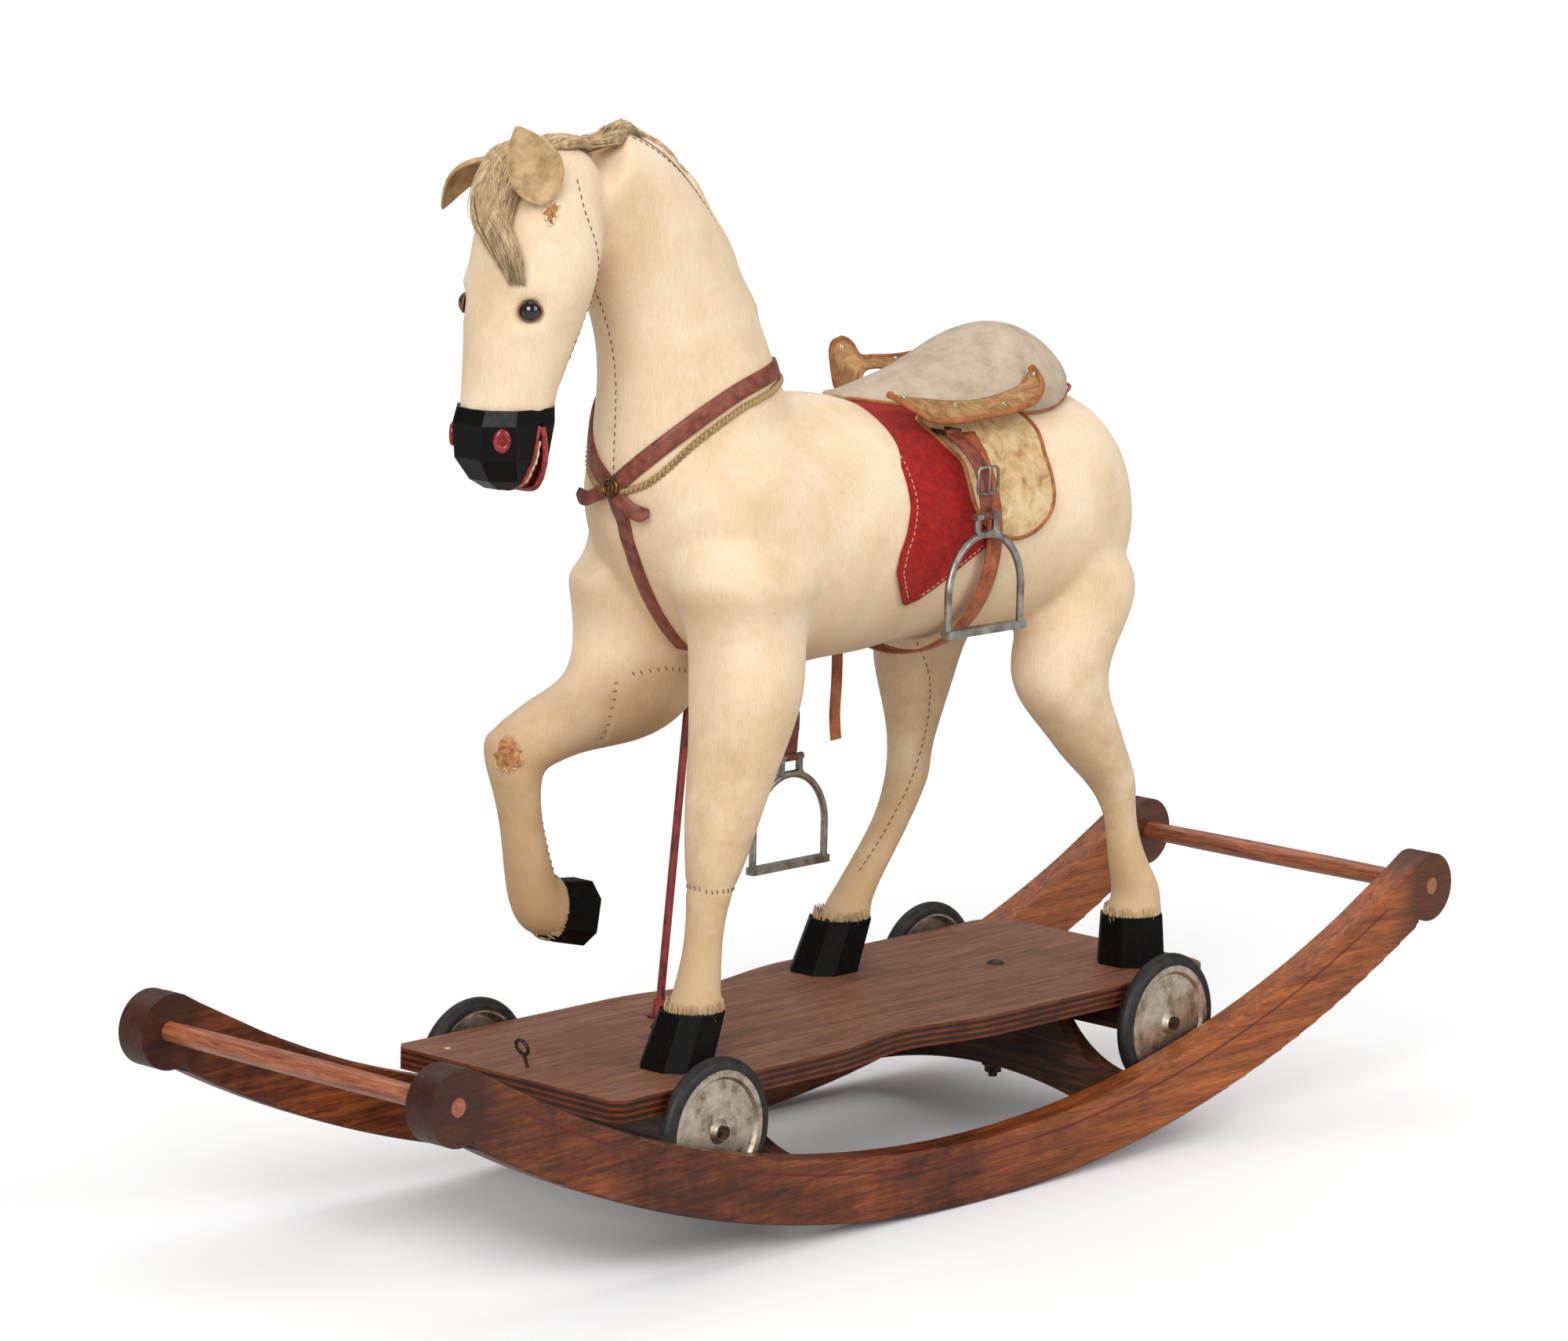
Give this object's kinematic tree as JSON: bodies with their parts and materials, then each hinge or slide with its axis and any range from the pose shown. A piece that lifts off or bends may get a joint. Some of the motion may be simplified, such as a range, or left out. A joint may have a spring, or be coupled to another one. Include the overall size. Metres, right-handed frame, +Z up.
{
  "type": "rocking horse",
  "caption": "Hide-covered horse with saddle and stirrups on a wheeled platform that is bolted to a pair of bow rockers.",
  "frame": {"origin": "on the floor, halfway along and between the two bow rockers, where the bows touch down", "axes": "+Z up; the horse faces -X; its left side is -Y"},
  "size_m": [1.268, 0.358, 0.902],
  "materials": {
    "rocker_wood": "stained and varnished",
    "rung_wood": "varnished",
    "support_wood": "dark stain",
    "platform_ply": "stained plywood",
    "dark_iron": "oiled iron",
    "disc_steel": "worn nickel plate",
    "tyre_rubber": "black rubber",
    "prop_red": "red paint",
    "hide": "cream short-haired hide",
    "ear_leather": "tan suede",
    "hair": "blond hair",
    "muzzle_black": "black gloss paint on carved wood",
    "hoof_black": "black paint on carved wood",
    "eye_glass": "black glass bead",
    "strap_red": "red-brown leather",
    "girth_leather": "orange-brown leather",
    "flap_cloth": "cream oilcloth with tan binding",
    "felt_red": "red felt",
    "seat_felt": "grey-white felt",
    "brass_dome": "aged brass",
    "stirrup_metal": "cast, grey"
  },
  "bodies": {
    "horse_and_rockers": {"left_rocker_front": "rocker_wood", "left_rocker_rear": "rocker_wood", "right_rocker_front": "rocker_wood", "right_rocker_rear": "rocker_wood", "support_dowels": "rocker_wood", "front_rung": "rung_wood", "rear_rung": "rung_wood", "front_cross_support": "support_wood", "rear_cross_support": "support_wood", "axle_bolsters": "support_wood", "platform": "platform_ply", "coach_bolts": "dark_iron", "bolt_nuts": "dark_iron", "bolt_washers": "dark_iron", "pull_ring": "dark_iron", "axles": "dark_iron", "axle_washers": "dark_iron", "saddle_bars": "dark_iron", "prop_rod": "prop_red", "body": "hide", "neck": "hide", "head": "hide", "left_foreleg_upper": "hide", "left_foreleg_cuff": "hide", "right_foreleg": "hide", "left_hind_leg": "hide", "right_hind_leg": "hide", "left_ear": "ear_leather", "right_ear": "ear_leather", "forelock": "hair", "mane_strip": "hair", "muzzle": "muzzle_black", "lower_jaw": "muzzle_black", "left_fore_hoof": "hoof_black", "right_fore_hoof": "hoof_black", "left_hind_hoof": "hoof_black", "right_hind_hoof": "hoof_black", "glass_eyes": "eye_glass", "neck_strap": "strap_red", "breast_strap": "strap_red", "girth": "girth_leather", "left_saddle_flap": "flap_cloth", "right_saddle_flap": "flap_cloth", "left_saddle_skirt": "flap_cloth", "right_saddle_skirt": "flap_cloth", "saddle_blanket": "felt_red", "saddle_seat": "seat_felt", "rosette": "brass_dome"},
    "front_left_wheel": {"front_left_wheel_disc": "disc_steel", "front_left_tyre": "tyre_rubber"},
    "front_right_wheel": {"front_right_wheel_disc": "disc_steel", "front_right_tyre": "tyre_rubber"},
    "rear_left_wheel": {"rear_left_wheel_disc": "disc_steel", "rear_left_tyre": "tyre_rubber"},
    "rear_right_wheel": {"rear_right_wheel_disc": "disc_steel", "rear_right_tyre": "tyre_rubber"},
    "left_leather": {"left_stirrup_leather": "strap_red"},
    "left_iron": {"left_stirrup_iron": "stirrup_metal"},
    "right_leather": {"right_stirrup_leather": "strap_red"},
    "right_iron": {"right_stirrup_iron": "stirrup_metal"}
  },
  "joints": [
    {"name": "front_left_wheel_spin", "type": "hinge", "parent": "horse_and_rockers", "child": "front_left_wheel", "pos_m": [-0.284, -0.139, 0.1025], "axis": [0, 1, 0], "continuous": true},
    {"name": "front_right_wheel_spin", "type": "hinge", "parent": "horse_and_rockers", "child": "front_right_wheel", "pos_m": [-0.284, 0.139, 0.1025], "axis": [0, 1, 0], "continuous": true},
    {"name": "rear_left_wheel_spin", "type": "hinge", "parent": "horse_and_rockers", "child": "rear_left_wheel", "pos_m": [0.28, -0.139, 0.1025], "axis": [0, 1, 0], "continuous": true},
    {"name": "rear_right_wheel_spin", "type": "hinge", "parent": "horse_and_rockers", "child": "rear_right_wheel", "pos_m": [0.28, 0.139, 0.1025], "axis": [0, 1, 0], "continuous": true},
    {"name": "left_leather_swing", "type": "hinge", "parent": "horse_and_rockers", "child": "left_leather", "pos_m": [0.043, -0.084, 0.632], "axis": [-1, 0, 0], "range_deg": [0, 55]},
    {"name": "left_iron_swing", "type": "hinge", "parent": "left_leather", "child": "left_iron", "pos_m": [0.043, -0.125, 0.566], "axis": [-1, 0, 0], "range_deg": [-8, 60]},
    {"name": "right_leather_swing", "type": "hinge", "parent": "horse_and_rockers", "child": "right_leather", "pos_m": [0.08, 0.084, 0.632], "axis": [1, 0, 0], "range_deg": [0, 55]},
    {"name": "right_iron_swing", "type": "hinge", "parent": "right_leather", "child": "right_iron", "pos_m": [0.08, 0.125, 0.322], "axis": [1, 0, 0], "range_deg": [-8, 60]}
  ]
}
